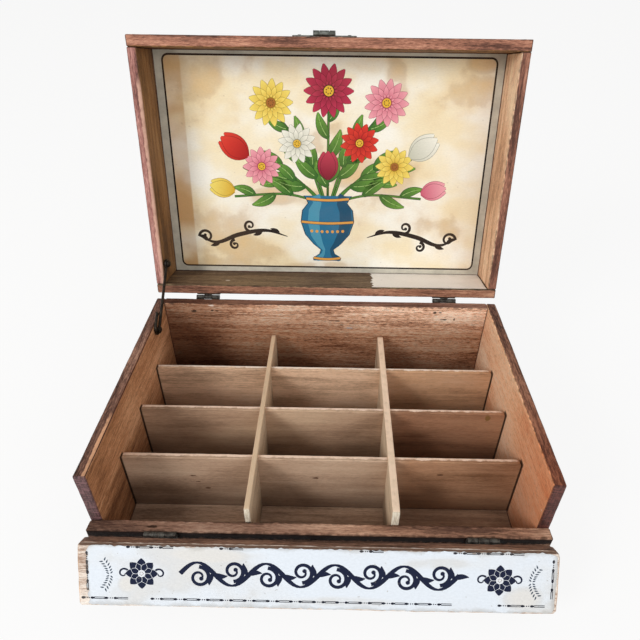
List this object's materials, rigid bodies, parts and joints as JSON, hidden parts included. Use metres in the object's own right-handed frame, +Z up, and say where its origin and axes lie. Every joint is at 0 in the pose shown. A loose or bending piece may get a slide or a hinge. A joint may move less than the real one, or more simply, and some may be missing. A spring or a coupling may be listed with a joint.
{
  "type": "seed box",
  "caption": "Hinged wooden seed organizer box with a compartmented tray, drop-front flap, recessed lid, bent-wire stay, hasp and staple.",
  "frame": {"origin": "centre of the underside of the box, on the surface it stands on", "axes": "+X to the right as one faces the flap, +Y from the flap to the lid's hinges, +Z up"},
  "size_m": [0.2808, 0.3028, 0.2796],
  "materials": {
    "body_oak": "worn dark oil stain, low sheen",
    "bottom_oak": "bare and dusty",
    "flap_oak": "worn dark oil stain",
    "lid_oak": "worn reddish stain",
    "lid_panel_oak": "worn dark stain",
    "divider_wood": "bare, sanded",
    "hinge_iron": "dull dark iron with worn spots",
    "nail_iron": "dark, slightly rusty",
    "hasp_steel": "dulled steel",
    "stay_bronze": "dark bronzed wire",
    "flap_paper": "matte printed paper",
    "lid_paper": "matte printed paper, stained",
    "strip_paper": "matte plain paper"
  },
  "bodies": {
    "body": {"left_side": "body_oak", "right_side": "body_oak", "back_board": "body_oak", "bottom_board": "bottom_oak", "front_rail": "body_oak", "body_nails": "nail_iron", "long_divider_left": "divider_wood", "long_divider_right": "divider_wood", "cross_divider_rear": "divider_wood", "cross_divider_middle": "divider_wood", "cross_divider_front": "divider_wood", "rail_hinge_leaf_left": "hinge_iron", "rail_hinge_leaf_right": "hinge_iron", "back_hinge_leaf_left": "hinge_iron", "back_hinge_leaf_right": "hinge_iron", "hinge_pins": "hinge_iron", "body_hinge_nails": "nail_iron", "stay_rim_screw": "stay_bronze"},
    "flap": {"flap_board": "flap_oak", "flap_label": "flap_paper", "flap_hinge_leaf_left": "hinge_iron", "flap_hinge_leaf_right": "hinge_iron", "flap_hinge_nails": "nail_iron", "staple": "hasp_steel", "staple_plate": "hasp_steel", "staple_plate_nails": "nail_iron"},
    "lid": {"lid_front": "lid_oak", "lid_back": "lid_oak", "lid_left": "lid_oak", "lid_right": "lid_oak", "lid_panel": "lid_panel_oak", "lid_label": "lid_paper", "lid_paper_strip": "strip_paper", "lid_nails": "nail_iron", "lid_hinge_leaf_left": "hinge_iron", "lid_hinge_leaf_right": "hinge_iron", "lid_hinge_nails": "nail_iron", "hasp_plate": "hasp_steel", "hasp_plate_nails": "nail_iron", "hasp_pin": "hasp_steel", "stay_lid_screw": "stay_bronze"},
    "hasp": {"hasp_strap": "hasp_steel"},
    "stay": {"stay_wire": "stay_bronze"}
  },
  "joints": [
    {"name": "lid_hinge", "type": "hinge", "parent": "body", "child": "lid", "pos_m": [0, 0.0976, 0.088], "axis": [1, 0, 0], "range_deg": [0, 102]},
    {"name": "flap_hinge", "type": "hinge", "parent": "body", "child": "flap", "pos_m": [0, -0.0969, 0.048], "axis": [-1, 0, 0], "range_deg": [0, 149.6]},
    {"name": "hasp_hinge", "type": "hinge", "parent": "lid", "child": "hasp", "pos_m": [-0.003, 0.14113, 0.2779], "axis": [1, 0, 0], "range_deg": [0, 180]},
    {"name": "stay_pivot", "type": "hinge", "parent": "lid", "child": "stay", "pos_m": [-0.13115, 0.10818, 0.11325], "axis": [1, 0, 0], "range_deg": [-54, 0]}
  ],
  "couplings": [
    {"joint": "stay_pivot", "follows": "lid_hinge", "ratio": -0.52}
  ]
}
